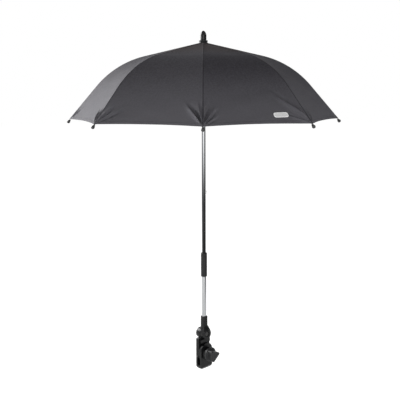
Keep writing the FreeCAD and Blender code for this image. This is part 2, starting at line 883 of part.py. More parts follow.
def make_stretcher():
    run = runner_pivot.sub(joint).normalize()
    outer_end = joint.add(FreeCAD.Vector(run).multiply(stretcher_eye_reach))
    inner_end = runner_pivot.sub(FreeCAD.Vector(run).multiply(stretcher_eye_reach))
    lap = FreeCAD.Vector(run).multiply(overrun)
    bar = rod(stretcher_radius, outer_end.sub(lap), inner_end.add(lap))
    outer_eye = hull(joint, cheek_radius, outer_end, stretcher_radius, eye_thickness)
    inner_eye = hull(runner_pivot, eye_radius, inner_end, stretcher_radius, eye_thickness)
    cross_pin = across(joint, hinge_pin_radius, eye_slot_width + 2 * joint_cheek)
    stretcher = fused([bar, outer_eye, inner_eye, cross_pin])
    return stretcher.cut(across(runner_pivot, hinge_pin_radius + pin_gap, crown_radius))


# Canopy: one panel on each rib, from the middle of one gore to the middle of the next


def hollow_at(run):
    """How far the middle of a gore is drawn in from the chord between its ribs."""
    return gore_hollow * (cloth_hole_radius + run) / (cloth_hole_radius + cloth_length)


def gore_middle(run, depth, side):
    """A point on the middle line of the gore beside a rib, drawn in from the chord."""
    on_rib = canopy_line(run * (cloth_length - hem_rise) / cloth_length, depth)
    half = math.radians(half_gore_deg)
    hollow = hollow_at(run)
    reach = on_rib.x * math.cos(half) - hollow * math.sin(slope_at(run))
    height = on_rib.z - hollow * math.cos(slope_at(run))
    turn = side * (half - gore_split_gap / 2 / reach)
    return at(reach * math.cos(turn), reach * math.sin(turn), height)


def gore_quarter(ridge, middle, run):
    """A point half way from a rib to the middle of a gore, drawn in by most of the hollow."""
    hollow = hollow_at(run) / 4
    point = ridge.add(middle).multiply(0.5)
    turn = slope_at(run)
    return point.sub(at(hollow * math.sin(turn), 0, hollow * math.cos(turn)))


def panel_section(run):
    """Points across a rib on the panel's outer face, then on its inner face coming back."""
    faces = []
    for depth in (0, cloth_thickness):
        ridge = canopy_line(run, depth)
        ends = [gore_middle(run, depth, side) for side in (1, -1)]
        quarters = [gore_quarter(ridge, end, run) for end in ends]
        faces.append([ends[0], quarters[0], ridge, quarters[1], ends[1]])
    return faces[0] + faces[1][::-1]


def sheet_face(corners):
    """A ruled face on four corners."""
    first = Part.LineSegment(corners[0], corners[1]).toShape()
    second = Part.LineSegment(corners[3], corners[2]).toShape()
    return Part.makeRuledSurface(first, second)


def panel_runs():
    """Distances along the cloth at which the panel's sections lie."""
    runs = [inner_length * i / straight_stations for i in range(straight_stations)]
    runs += [inner_length + bend_length * i / bend_stations for i in range(bend_stations)]
    outer_start = inner_length + bend_length
    runs += [outer_start + outer_length * i / straight_stations for i in range(straight_stations + 1)]
    return runs


def make_canopy_panel():
    sections = [panel_section(run) for run in panel_runs()]
    count = len(sections[0])
    faces = []
    for low, high in zip(sections, sections[1:]):
        for i in range(count):
            j = (i + 1) % count
            faces.append(sheet_face([low[i], low[j], high[j], high[i]]))
    for section in (sections[0], sections[-1]):
        for i in range(count // 2 - 1):
            faces.append(sheet_face([section[i], section[i + 1], section[-2 - i], section[-1 - i]]))
    shell = Part.Shell(faces)
    shell.sewShape()
    panel = Part.Solid(shell)
    if panel.Volume < 0:
        panel.reverse()
    return panel


# All pieces

single_pieces = {
    "clamp_body": make_clamp_body,
    "clamp_jaw": make_clamp_jaw,
    "jaw_pin": make_jaw_pin,
    "clamp_stud": make_clamp_stud,
    "knob_washer": make_knob_washer,
    "knob": make_knob,
    "knob_insert": make_knob_insert,
    "hinge_bolt": make_hinge_bolt,
    "hinge_nut": make_hinge_nut,
    "friction_disc": make_friction_disc,
    "tube_socket": make_tube_socket,
    "socket_screw": make_socket_screw,
    "lower_tube": make_lower_tube,
    "lock_collet": make_lock_collet,
    "lock_collar": make_lock_collar,
    "upper_tube": make_upper_tube,
    "tube_plug": make_tube_plug,
    "finial_ring": make_finial_ring,
    "finial": make_finial,
    "crown": make_crown,
    "rib_pins": make_rib_pins,
    "runner": make_runner,
}
rib_pieces = {
    "rib": make_rib,
    "rib_tip": make_rib_tip,
    "stretcher": make_stretcher,
    "canopy_panel": make_canopy_panel,
}

os.makedirs("parts", exist_ok=True)


def save(name, shape):
    shape.exportStep("parts/" + name + ".step")
    print(name, len(shape.Solids), round(shape.Volume), shape.isValid())


for name, make in single_pieces.items():
    save(name, make())
save("open_catch", make_catch(runner_pivot.z))
save("closed_catch", make_catch(runner_pivot_folded.z))
for name, make in rib_pieces.items():
    pattern = make()
    for i in range(rib_count):
        save(name + "_" + str(i + 1), around_pole(pattern, rib_turn_deg * i))
print("rib pivot", pivot, "rib joint", joint, "tip", tip)
print("runner pivot open", runner_pivot, "folded", runner_pivot_folded)
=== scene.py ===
"""Pram parasol: the looks of every piece, built around its fixed frame. Metres, +Z up along the pole."""
import json
import math

import bmesh
import bpy
import numpy as np
from mathutils import Matrix, Vector


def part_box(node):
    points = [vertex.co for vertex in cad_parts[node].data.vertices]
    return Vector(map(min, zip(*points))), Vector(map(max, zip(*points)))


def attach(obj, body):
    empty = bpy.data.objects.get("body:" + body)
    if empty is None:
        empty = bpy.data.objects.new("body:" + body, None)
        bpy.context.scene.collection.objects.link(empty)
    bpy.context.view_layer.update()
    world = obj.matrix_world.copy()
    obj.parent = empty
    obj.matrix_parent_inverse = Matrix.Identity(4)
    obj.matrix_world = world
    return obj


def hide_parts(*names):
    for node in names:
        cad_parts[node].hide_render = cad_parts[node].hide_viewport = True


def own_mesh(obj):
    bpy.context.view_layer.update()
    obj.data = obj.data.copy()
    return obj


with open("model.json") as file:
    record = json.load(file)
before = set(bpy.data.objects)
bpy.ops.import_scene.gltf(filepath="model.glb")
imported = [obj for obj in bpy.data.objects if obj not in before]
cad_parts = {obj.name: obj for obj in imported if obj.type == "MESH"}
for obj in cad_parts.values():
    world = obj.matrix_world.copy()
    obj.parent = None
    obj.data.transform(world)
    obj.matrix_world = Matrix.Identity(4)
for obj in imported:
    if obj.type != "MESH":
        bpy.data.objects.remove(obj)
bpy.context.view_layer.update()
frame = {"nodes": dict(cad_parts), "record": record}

MM = 0.001
FULL_TURN = 2 * math.pi
RIBS = 8
RIB_TURN = FULL_TURN / RIBS
HALF_GORE = RIB_TURN / 2

# Canopy line in the plane of a rib, as the frame has it
cloth_hole_radius = 10.0 * MM
ring_radius = 11.4 * MM
canopy_top = 852.0 * MM
inner_slope = math.radians(13.0)
outer_slope = math.radians(49.0)
bend_start_radius = 150.0 * MM
bend_radius = 235.0 * MM
cloth_radius = 347.6 * MM
hem_rise = 6.0 * MM
gore_hollow = 4.0 * MM
cloth_thickness = 0.7 * MM
rib_depth = 2.6 * MM
tip_overhang = 6.6 * MM

bend_length = bend_radius * (outer_slope - inner_slope)
inner_length = (bend_start_radius - cloth_hole_radius) / math.cos(inner_slope)
bend_end_radius = bend_start_radius + bend_radius * (math.sin(outer_slope) - math.sin(inner_slope))
outer_length = (cloth_radius - bend_end_radius) / math.cos(outer_slope)
cloth_length = inner_length + bend_length + outer_length
bend_start_height = canopy_top - (bend_start_radius - ring_radius) * math.tan(inner_slope)

# Sewing and folds of the cloth
seam_half_width = 2.6 * MM
seam_height = 0.45 * MM
seam_edge = 0.8 * MM
ridge_round = 2.0 * MM
hem_width = 8.5 * MM
hem_height = 0.35 * MM
hem_stitch = 6.8 * MM
seam_groove = 2.0 * MM
seam_groove_depth = 0.3 * MM
seam_stitch_half_width = 0.42 * MM
hem_stitch_half_width = 0.4 * MM
stitch_pitch = 3.2 * MM
stitch_gap_below = -0.35
thread_pitch = 0.75 * MM

# Colours of the cloth, and where they change: measured up from the hem, with an uneven edge
cloth_dark = (0.038, 0.036, 0.042, 1.0)
cloth_light = (0.068, 0.065, 0.075, 1.0)
# Brownish tint near the crown, also darker there: painted shade on the top of the canopy
cloth_crown_tint_and_shade = (0.052, 0.039, 0.037, 1.0)
# Painted light: a paler colour laid on the lower gores, where the light falls more
cloth_hem_painted_light = (0.134, 0.131, 0.144, 1.0)
stitch_colour = (0.024, 0.023, 0.026, 1.0)
groove_colour = (0.008, 0.008, 0.010, 1.0)
sheen_colour = (0.86, 0.86, 0.92, 1.0)
# Heights of the brownish tone with painted shade near the crown, with an uneven edge
crown_tint_and_shade_start, crown_tint_and_shade_end, crown_tint_and_shade_edge = cloth_length - 130 * MM, cloth_length - 40 * MM, 40 * MM
# Heights of the painted light: full below the first, gone above the second, with an uneven edge
painted_light_end, painted_light_start, painted_light_edge = 10 * MM, 220 * MM, 30 * MM

# Reinforcing leaves inside the crown, cut so that they just meet when the ribs are folded
lining_start_share = 0.02
lining_end_share = 0.385
lining_folded_share = 0.58
lining_gap = 0.12 * MM
lining_rows = 56
lining_columns = 36
rib_hinge_radius = 11.0 * MM
rib_hinge_height = 845.0 * MM
rib_swing = math.radians(58.0)

# Pleats that fan out from the tips: degrees off the rib, reach and height in millimetres
tip_pleats = {
    8: [(-35, 54, 9.6), (-12, 50, 6.0), (7, 54, 7.6), (31, 50, 4.8), (52, 38, 2.8)],
    1: [(-31, 80, 11.0), (-14, 44, 3.4), (-64, 46, 4.4), (22, 44, 3.2), (46, 48, 3.8)],
    7: [(-48, 48, 4.2), (-22, 42, 3.4), (20, 48, 4.0), (44, 52, 4.6)],
}
other_pleats = [(-44, 46, 2.6), (-19, 38, 2.0), (17, 40, 2.0), (40, 46, 2.6)]
pleat_half_width = math.radians(7.6)
pleat_narrowing = 40 * MM
pleat_start, pleat_full = 3 * MM, 26 * MM
pleat_root = 2 * MM
pleat_ridge_power, pleat_end_power = 1.6, 4
pleat_steep_side, pleat_gentle_side = 1.6, 0.7
pleat_valley_depth, pleat_valley_offset = 0.75, 1.5
pleat_rib_clear, pleat_rib_full = 1.5 * MM, 8 * MM
pleat_fade_start, pleat_fade_end = 0.34, 0.47

# Slow waves between the ribs: height, waves along and across a gore, and shift from gore to gore
slack_height = 0.35 * MM
slack_waves = [(1.0, 7.0, 1.3, 2.4), (0.7, 5.6, -1.7, 1.1)]
slack_start, slack_full = 0.35, 0.8
slack_hem_start, slack_hem_loss = 0.9, 0.5

# Grid of the cloth: columns crowd towards the rib, rows towards the hem
columns = 128
rows = 176
column_crowding = 1.6
row_crowding = 1.3

# Plain badge on the cloth
badge_rib = 1
badge_from_middle = 62.0 * MM
badge_above_hem = 24.7 * MM
badge_width = 35.0 * MM
badge_height = 14.0 * MM
badge_corner = 5.0 * MM
badge_thickness = 0.8 * MM
badge_border = 1.3 * MM
badge_field_share = 0.55
badge_edge_start, badge_edge_end = -0.1 * MM, 0.3 * MM
badge_root = 0.2 * MM
badge_lean = math.radians(2.0)

# Painted dark reflection on the upper tube: it clears between these heights
painted_reflection_low, painted_reflection_high = 430 * MM, 650 * MM

# Camera: the photograph's view, fitted from the rib tips, the pole and the clamp
camera_turn = math.radians(45.55)
camera_distance = 1832.5 * MM
camera_height = 748.5 * MM
camera_pitch = math.radians(9.31)
camera_left = 10.0 * MM
camera_roll = math.radians(-0.2)
focal_pixels = 705.0
frame_pixels = 400.0
sensor_mm = 36.0


# Shader maths


class Value:
    """A shader socket that takes part in arithmetic: each operator adds one Math node."""

    def __init__(self, finish, socket):
        self.finish = finish
        self.socket = socket

    def __add__(self, other):
        return self.finish.math("ADD", self, other)

    __radd__ = __add__

    def __mul__(self, other):
        return self.finish.math("MULTIPLY", self, other)

    __rmul__ = __mul__

    def __sub__(self, other):
        return self.finish.math("SUBTRACT", self, other)

    def __rsub__(self, other):
        return self.finish.math("SUBTRACT", other, self)

    def __lt__(self, other):
        return self.finish.math("LESS_THAN", self, other)

    def __gt__(self, other):
        return self.finish.math("GREATER_THAN", self, other)

    def __abs__(self):
        return self.finish.math("ABSOLUTE", self)


class Finish:
    """One node material around a Principled shader."""

    def __init__(self, name, **fixed):
        self.material = bpy.data.materials.new(name)
        self.material.use_nodes = True
        self.tree = self.material.node_tree
        self.shader = self.tree.nodes["Principled BSDF"]
        for socket, value in fixed.items():
            self.shader.inputs[socket.replace("_", " ")].default_value = value

    def node(self, kind, settings, inputs, output=0):
        """Adds a node of a type, sets its settings, then fills or links its sockets."""
        made = self.tree.nodes.new(kind)
        for name, value in settings.items():
            setattr(made, name, value)
        for name, value in inputs.items():
            self.feed(made.inputs[name], value)
        return Value(self, made.outputs[output])

    def feed(self, socket, value):
        """Links a value to a socket, or sets the socket to a number or colour."""
        if isinstance(value, Value):
            self.tree.links.new(value.socket, socket)
        else:
            socket.default_value = value

    def math(self, operation, *values):
        """One Math node."""
        return self.node("ShaderNodeMath", {"operation": operation}, dict(enumerate(values)))

    def sine(self, value):
        """The sine of a value in radians."""
        return self.math("SINE", value)

    def smooth(self, value, low, high):
        """0 below low, 1 above high, with a smooth step between."""
        settings = {"interpolation_type": "SMOOTHSTEP"}
        return self.node("ShaderNodeMapRange", settings, {0: value, 1: low, 2: high})

    def place(self):
        """The piece's Object coordinates."""
        return self.node("ShaderNodeTexCoord", {}, {}, "Object")

    def attribute(self, name):
        """A value stored on the mesh's points."""
        return self.node("ShaderNodeAttribute", {"attribute_name": name}, {}, "Fac")

    def surface_map(self):
        """The piece's own map, in metres across and along its surface."""
        split = self.node("ShaderNodeUVMap", {"uv_map": "cloth"}, {})
        x = self.node("ShaderNodeSeparateXYZ", {}, {0: split}, 0)
        return x, Value(self, x.socket.node.outputs[1])

    def noise(self, scale, detail=3.0, roughness=0.5, stretch=None):
        """Noise on Object coordinates, stretched along an axis where asked."""
        where = self.place()
        if stretch:
            where = self.node("ShaderNodeMapping", {}, {"Vector": where, "Scale": stretch})
        inputs = {"Vector": where, "Scale": scale, "Detail": detail, "Roughness": roughness}
        return self.node("ShaderNodeTexNoise", {}, inputs)

    def mix(self, share, first, second):
        """A colour between two colours."""
        inputs = {0: share, 6: first, 7: second}
        return self.node("ShaderNodeMix", {"data_type": "RGBA"}, inputs, 2)

    def bump(self, height, strength, distance):
        """A normal raised by a height."""
        inputs = {"Height": height, "Strength": strength, "Distance": distance}
        return self.node("ShaderNodeBump", {}, inputs)

    def set(self, **sockets):
        """Feeds sockets of the shader and returns the material."""
        for socket, value in sockets.items():
            self.feed(self.shader.inputs[socket.replace("_", " ")], value)
        return self.material


def grey(level, tint=0.0):
    """An opaque near-grey, warmer with a positive tint and cooler with a negative one."""
    return (level * (1 + tint), level, level * (1 - tint), 1.0)


def cloth_finish():
    """Charcoal plain weave: threads, slubs and mottle, stitched seams and hem, and a dark line over each rib.

    It is brownish near the crown, darker there as painted shade, and has painted light that makes it paler
    towards the hem."""
    made = Finish(
        "charcoal_cloth",
        Sheen_Weight=0.03, Sheen_Roughness=0.4, Sheen_Tint=sheen_colour, Specular_IOR_Level=0.04,
    )
    across, along = made.surface_map()
    seam, hem = made.attribute("seam_distance"), made.attribute("hem_distance")
    thread_wave, stitch_wave = FULL_TURN / thread_pitch, FULL_TURN / stitch_pitch
    weave = made.sine(across * thread_wave) * made.sine(along * thread_wave)
    seam_line = abs(seam - seam_half_width) < seam_stitch_half_width
    seam_dash = made.sine(along * stitch_wave) > stitch_gap_below
    hem_line = abs(hem - hem_stitch) < hem_stitch_half_width
    hem_dash = made.sine(across * stitch_wave) > stitch_gap_below
    stitches = made.math("MAXIMUM", seam_line * seam_dash, hem_line * hem_dash)
    groove = 1 - made.smooth(seam, 0.5 * seam_groove, 1.2 * seam_groove)

    fibre = made.noise(900.0, 4.0, 0.6)
    mottle = made.noise(260.0, 2.0, 0.6)
    patches = made.noise(9.0, 3.0, 0.55)
    slubs = made.noise(60.0, 2.0, 0.5, (1.0, 1.0, 8.0))
    share = fibre * 0.4 + patches * 0.4 + slubs * 0.2 + weave * 0.14 + (mottle - 0.5) * 1.9
    # Brownish tint with painted shade, growing towards the crown
    crown_tint_and_shade = made.smooth(hem + patches * crown_tint_and_shade_edge, crown_tint_and_shade_start, crown_tint_and_shade_end)
    # Painted light: paler towards the hem
    painted_light_share = 1 - made.smooth(hem + patches * painted_light_edge, painted_light_end, painted_light_start)
    colour = made.mix(share, cloth_dark, cloth_light)
    colour = made.mix(crown_tint_and_shade * 0.8, colour, cloth_crown_tint_and_shade)
    colour = made.mix(painted_light_share * 0.65, colour, cloth_hem_painted_light)
    colour = made.mix(stitches * 0.85, colour, stitch_colour)
    colour = made.mix(groove * 0.85, colour, groove_colour)
    height = weave * 0.5 + fibre * 0.35 + stitches * 2.2
    return made.set(
        Base_Color=colour, Roughness=0.66 + patches * 0.16, Normal=made.bump(height, 0.35, 0.12 * MM)
    )


def chrome_finish(name, level, painted_reflection_level=None):
    """Bright plating with fine draw lines along the tube and a few smudges.

    Where a painted reflection level is given, the tube carries a painted dark reflection that passes from that
    level low down to its own level up the tube."""
    made = Finish(name, Metallic=1.0)
    lines = made.noise(420.0, 2.0, 0.5, (1.0, 1.0, 0.02))
    smudges = made.noise(26.0, 4.0, 0.6)
    colour = made.mix(lines, grey(level * 0.66, -0.02), grey(level, -0.02))
    if painted_reflection_level:
        # Painted reflection: darker low on the tube, clearing upwards
        height = made.node("ShaderNodeSeparateXYZ", {}, {0: made.place()}, 2)
        bright = made.smooth(height, painted_reflection_low, painted_reflection_high)
        painted_reflection_colour = made.mix(lines, grey(painted_reflection_level * 0.7, -0.04), grey(painted_reflection_level * 1.3, -0.04))
        colour = made.mix(bright, painted_reflection_colour, colour)
    roughness = 0.07 + smudges * 0.12 + lines * 0.05
    return made.set(
        Base_Color=colour, Roughness=roughness, Normal=made.bump(lines, 0.05, 0.05 * MM)
    )


def moulded_finish(name, level, grain, gloss, specular=0.22):
    """Moulded black plastic: a fine pebble grain, faint flow marks and rubbed patches."""
    made = Finish(name, Specular_IOR_Level=specular)
    pebble = made.noise(grain, 3.0, 0.55)
    flow = made.noise(45.0, 3.0, 0.6, (1.0, 1.0, 0.35))
    rubbed = made.smooth(made.noise(130.0, 4.0, 0.62), 0.52, 0.74)
    colour = made.mix(flow, grey(level * 0.7, -0.05), grey(level * 1.35, -0.05))
    colour = made.mix(rubbed * 0.35, colour, grey(level * 2.2, -0.04))
    roughness = gloss + pebble * 0.14 - rubbed * 0.08
    return made.set(
        Base_Color=colour, Roughness=roughness, Normal=made.bump(pebble, 0.22, 0.12 * MM)
    )


def metal_finish(name, colour, lightest, gloss):
    """Plated or turned metal with fine scratches and slight clouding."""
    made = Finish(name, Metallic=1.0)
    scratches = made.noise(700.0, 2.0, 0.5, (1.0, 0.15, 0.15))
    cloud = made.noise(40.0, 4.0, 0.6)
    tone = made.mix(cloud * 0.6 + scratches * 0.4, colour, lightest)
    roughness = gloss + cloud * 0.12 + scratches * 0.06
    return made.set(
        Base_Color=tone, Roughness=roughness, Normal=made.bump(scratches, 0.08, 0.04 * MM)
    )


def fibre_finish():
    """Pressed fibre washer with mottled fibres."""
    made = Finish("pressed_fibre")
    fibres = made.noise(500.0, 4.0, 0.7, (1.0, 0.3, 1.0))
    return made.set(
        Base_Color=made.mix(fibres, (0.05, 0.046, 0.042, 1.0), (0.13, 0.12, 0.11, 1.0)),
        Roughness=0.7 + fibres * 0.2,
        Normal=made.bump(fibres, 0.3, 0.1 * MM),
    )


def badge_finish():
    """Plain satin silver badge: a bright border round a greyer field with a faint brushed grain."""
    made = Finish("silver_badge", Metallic=0.4, Coat_Weight=0.15)
    brushed = made.noise(300.0, 3.0, 0.6, (1.0, 1.0, 0.05))
    field = made.mix(brushed, grey(0.52), grey(0.74))
    return made.set(
        Base_Color=made.mix(made.attribute("border_share"), field, grey(0.93)),
        Roughness=0.34 + brushed * 0.14,
        Normal=made.bump(brushed, 0.1, 0.05 * MM),
    )


finishes = {
    "canopy_cloth": cloth_finish(),
    "chrome_tube": chrome_finish("bright_chrome", 0.5),
    "moulded_black": moulded_finish("clamp_plastic", 0.006, 1100.0, 0.22, 0.18),
    "knob_black": moulded_finish("knob_plastic", 0.014, 900.0, 0.36),
    "collar_black": moulded_finish("sleeve_plastic", 0.012, 1400.0, 0.42),
    "fitting_black": moulded_finish("fitting_plastic", 0.012, 1200.0, 0.34),
    "tip_black": moulded_finish("tip_plastic", 0.008, 800.0, 0.12, 0.5),
    "plated_steel": metal_finish("zinc_steel", grey(0.38), grey(0.62), 0.26),
    "blackened_steel": metal_finish("black_oxide", grey(0.05), grey(0.11), 0.3),
    "rib_steel": metal_finish("plated_wire", grey(0.22), grey(0.42), 0.24),
    "insert_brass": metal_finish("turned_brass", (0.5, 0.34, 0.12, 1.0), (0.76, 0.58, 0.28, 1.0), 0.25),
    "friction_fibre": fibre_finish(),
}
finial_material = moulded_finish("polished_plastic", 0.004, 800.0, 0.08, 0.2)
# The upper tube's chrome carries a painted dark reflection low down
upper_tube_material = chrome_finish("chrome_painted_reflection", 0.34, painted_reflection_level=0.02)
badge_material = badge_finish()

for part in frame["record"]["subparts"]:
    node = frame["nodes"][part["node"]]
    node.data.materials.clear()
    node.data.materials.append(finishes[part["material_slot"]])
frame["nodes"]["upper_tube"].data.materials[0] = upper_tube_material


# Mesh helpers


def smoothstep(value, low, high):
    """0 below low, 1 above high, with a smooth step between."""
    t = np.clip((value - low) / (high - low), 0, 1)
    return t * t * (3 - 2 * t)


def unit(vectors):
    """Vectors of length one, along the last axis."""
    return vectors / np.linalg.norm(vectors, axis=-1, keepdims=True)


def grid_faces(n_rows, n_columns, ring):
    """Quads over a grid of points in row order; a ring also joins its last column to its first."""
    last = n_columns if ring else n_columns - 1
    r, c = np.meshgrid(np.arange(n_rows - 1), np.arange(last), indexing="ij")
    ahead = (c + 1) % n_columns
    quads = [r * n_columns + c, r * n_columns + ahead, (r + 1) * n_columns + ahead, (r + 1) * n_columns + c]
    return np.stack(quads, axis=-1).reshape(-1, 4)


def mesh_piece(name, points, faces, slot, material=None):
    """An object at the origin from an array of points and an array of quads."""
    mesh = bpy.data.meshes.new(name)
    mesh.from_pydata(points.reshape(-1, 3).tolist(), [], faces.tolist())
    mesh.materials.append(material or finishes[slot])
    mesh.polygons.foreach_set("use_smooth", np.ones(len(mesh.polygons), dtype=bool))
    piece = bpy.data.objects.new(name, mesh)
    bpy.context.collection.objects.link(piece)
    return piece


def store(piece, name, values):
    """Stores one value on each point of a piece."""
    attribute = piece.data.attributes.new(name, "FLOAT", "POINT")
    attribute.data.foreach_set("value", values.astype(np.float32))


def close_up(piece, sharp_deg=38.0):
    """Merges the points of poles and seams, turns faces outwards and keeps real edges sharp."""
    merge_distance = 0.001 * MM
    work = bmesh.new()
    work.from_mesh(piece.data)
    bmesh.ops.remove_doubles(work, verts=work.verts, dist=merge_distance)
    bmesh.ops.dissolve_degenerate(work, edges=work.edges, dist=merge_distance)
    bmesh.ops.recalc_face_normals(work, faces=work.faces)
    for edge in work.edges:
        edge.smooth = edge.calc_face_angle(0.0) < math.radians(sharp_deg)
    work.to_mesh(piece.data)
    work.free()
    return piece


def rounded(corners, radius, steps=6):
    """An outline of (radius, height) corners with each inner corner turned into an arc."""
    side_share = 0.45
    corners = np.array(corners, dtype=float)
    points = [corners[0]]
    for before, corner, after in zip(corners, corners[1:], corners[2:]):
        to_before, to_after = unit(before - corner), unit(after - corner)
        half = math.acos(np.clip(np.dot(to_before, to_after), -1, 1)) / 2
        room = min(np.linalg.norm(before - corner), np.linalg.norm(after - corner)) * side_share
        reach = min(radius / math.tan(half), room)
        centre = corner + unit(to_before + to_after) * reach / math.cos(half)
        start, end = corner + to_before * reach, corner + to_after * reach
        first, last = start - centre, end - centre
        sweep = math.pi - 2 * half
        for step in range(steps + 1):
            t = step / steps
            blend = (math.sin((1 - t) * sweep) * first + math.sin(t * sweep) * last) / math.sin(sweep)
            points.append(centre + blend)
    points.append(corners[-1])
    return np.array(points)


def turned(name, outline, slot, segments=72, base=(0, 0, 0), axis=(0, 0, 1), wave=None, material=None):
    """A surface of revolution: an outline of (radius, height) carried round an axis.

    wave(angle, height) gives a factor on the radius, for flutes and lobes."""
    angle = np.linspace(0, FULL_TURN, segments, endpoint=False)
    radius, height = outline[:, :1], outline[:, 1:]
    factor = wave(angle[None, :], height) if wave else 1.0
    x = radius * factor * np.cos(angle)
    y = radius * factor * np.sin(angle)
    z = np.broadcast_to(height, x.shape)
    points = np.stack([x, y, z], axis=-1)
    turn = np.array(Vector((0, 0, 1)).rotation_difference(Vector(axis)).to_matrix())
    points = points @ turn.T + np.array(base)
    faces = grid_faces(len(outline), segments, True)
    return close_up(mesh_piece(name, points, faces, slot, material))


def soften(node_name, width, angle_deg=32.0):
    """Rounds the edges of a frame node without touching its mesh."""
    node = frame["nodes"][node_name]
    weld = node.modifiers.new("weld", "WELD")
    weld.merge_threshold = 0.002 * MM
    flat = node.modifiers.new("flat", "DECIMATE")
    flat.decimate_type = "DISSOLVE"
    flat.angle_limit = math.radians(0.6)
    edge = node.modifiers.new("edge", "BEVEL")
    edge.width = width
    edge.segments = 3
    edge.limit_method = "ANGLE"
    edge.angle_limit = math.radians(angle_deg)
    edge.harden_normals = True


# Canopy cloth


def canopy_line(run, depth):
    """Radius and height under the cloth's outer face at a distance along a rib: straight, arc, straight."""
    bent = np.clip(run - inner_length, 0, bend_length)
    turn = inner_slope + bent / bend_radius
    straight = np.minimum(run - inner_length, 0) + np.maximum(run - inner_length - bend_length, 0)
    radius = bend_start_radius + bend_radius * (np.sin(turn) - math.sin(inner_slope))
    height = bend_start_height - bend_radius * (math.cos(inner_slope) - np.cos(turn))
    radius = radius + straight * np.cos(turn) - depth * np.sin(turn)
    height = height - straight * np.sin(turn) - depth * np.cos(turn)
    return radius, height, turn


def split_turn(turn):
    """The nearest rib's number, counted from 0, and the share of a gore from it, -0.5 to 0.5."""
    rib = np.round(turn)
    return rib, turn - rib


def gore_width(share):
    """The straight distance between two ribs at a share of the cloth's length."""
    radius, _, _ = canopy_line(cloth_length * share, 0)
    return 2 * radius * math.sin(HALF_GORE)


def cloth_base(turn, share):
    """The taut cloth: a chord from each rib to the next, drawn in by a hollow and cut up at the hem.

    turn counts ribs round the pole and share runs from the hole to the hem."""
    rib, across = split_turn(turn)
    soft = ridge_round / gore_width(share)
    away = (np.sqrt(across**2 + soft**2) - soft) * 0.5 / (np.sqrt(0.25 + soft**2) - soft)
    sag = 4 * away * (1 - away)
    run = cloth_length * share * (1 - hem_rise / cloth_length * sag)
    radius, height, slope = canopy_line(run, 0)
    side = np.where(across < 0, -1.0, 1.0)
    here = rib * RIB_TURN
    there = here + side * RIB_TURN
    middle = here + side * HALF_GORE
    hollow = gore_hollow * sag * (cloth_hole_radius + run) / (cloth_hole_radius + cloth_length)
    x = radius * ((1 - away) * np.cos(here) + away * np.cos(there)) - hollow * np.sin(slope) * np.cos(middle)
    y = radius * ((1 - away) * np.sin(here) + away * np.sin(there)) - hollow * np.sin(slope) * np.sin(middle)
    return np.stack([x, y, height - hollow * np.cos(slope)], axis=-1)


def normals_of(surface, turn, share):
    """Outward normals of a surface of two parameters, by central differences."""
    step = 2e-4
    along = surface(turn, share + step) - surface(turn, share - step)
    around = surface(turn + step, share) - surface(turn - step, share)
    return unit(np.cross(along, around))


def pleats(turn, share):
    """Folds that fan out from each rib's tip, each at its own angle, fading with distance."""
    rib, across = split_turn(turn)
    number = np.mod(rib, RIBS).astype(int) + 1
    sideways = across * gore_width(share)
    upward = cloth_length * (1 - share)
    reach = np.hypot(sideways, upward)
    heading = np.arctan2(sideways, upward + pleat_root)
    total = np.zeros_like(reach)
    for i in range(1, RIBS + 1):
        for degrees, length, rise in tip_pleats.get(i, other_pleats):
            crease = fold(heading, reach, math.radians(degrees), length * MM, rise * MM)
            total += np.where(number == i, crease, 0)
    clear_of_rib = smoothstep(np.abs(sideways), pleat_rib_clear, pleat_rib_full)
    return total * clear_of_rib * (1 - smoothstep(np.abs(across), pleat_fade_start, pleat_fade_end))


def fold(heading, reach, centre, length, rise):
    """One fold: a ridge with a steep side and a valley beside it, narrower in angle away from the tip."""
    width = pleat_half_width * (0.5 + 0.5 * np.exp(-reach / pleat_narrowing))
    off = (heading - centre) / width
    steepness = np.where(off > 0, pleat_steep_side, pleat_gentle_side)
    ridge = np.exp(-(np.abs(off) ** pleat_ridge_power) * steepness)
    valley = pleat_valley_depth * np.exp(-((off - pleat_valley_offset) ** 2))
    swell = smoothstep(reach, pleat_start, pleat_full) * np.exp(-((reach / length) ** pleat_end_power))
    return rise * (ridge - valley) * swell


def slack(turn, share):
    """Slow waves in the cloth between the ribs, strongest in the lower half."""
    gore = np.mod(turn, 1.0)
    window = np.sin(math.pi * gore) ** 2 * smoothstep(share, slack_start, slack_full)
    window = window * (1 - slack_hem_loss * smoothstep(share, slack_hem_start, 1.0))
    total = np.zeros_like(window)
    for height, along, across, shift in slack_waves:
        total += height * np.sin(FULL_TURN * (along * share + across * gore) + shift * np.floor(turn))
    return slack_height * window * total


def cloth_rise(turn, share):
    """What lies on the taut cloth: the seam over each rib, the hem, the pleats and the slack."""
    _, across = split_turn(turn)
    seam = np.abs(across) * gore_width(share)
    below = cloth_length * (1 - share)
    rise = seam_height * (1 - smoothstep(seam, seam_half_width - seam_edge, seam_half_width + seam_edge))
    rise = rise - seam_groove_depth * (1 - smoothstep(seam, 0.3 * seam_groove, 1.3 * seam_groove))
    rise = np.maximum(rise, hem_height * (1 - smoothstep(below, hem_width - seam_edge, hem_width)))
    return rise + pleats(turn, share) + slack(turn, share)


def cloth_outer(turn, share):
    """The outer face of the sewn cloth."""
    normal = normals_of(cloth_base, turn, share)
    return cloth_base(turn, share) + normal * cloth_rise(turn, share)[..., None]


def panel_grid():
    """Columns from -0.5 to 0.5 of a gore, crowded at the rib, and rows from hole to hem."""
    x = np.linspace(-1, 1, columns + 1)
    across = 0.5 * np.sign(x) * np.abs(x) ** column_crowding
    share = 1 - (1 - np.linspace(0, 1, rows + 1)) ** row_crowding
    return np.meshgrid(share, across, indexing="ij")


def gore_area():
    """The flat area of the cloth on one rib: its width summed along its length."""
    share = np.linspace(0, 1, 400)
    return float(gore_width(share).mean() * cloth_length)


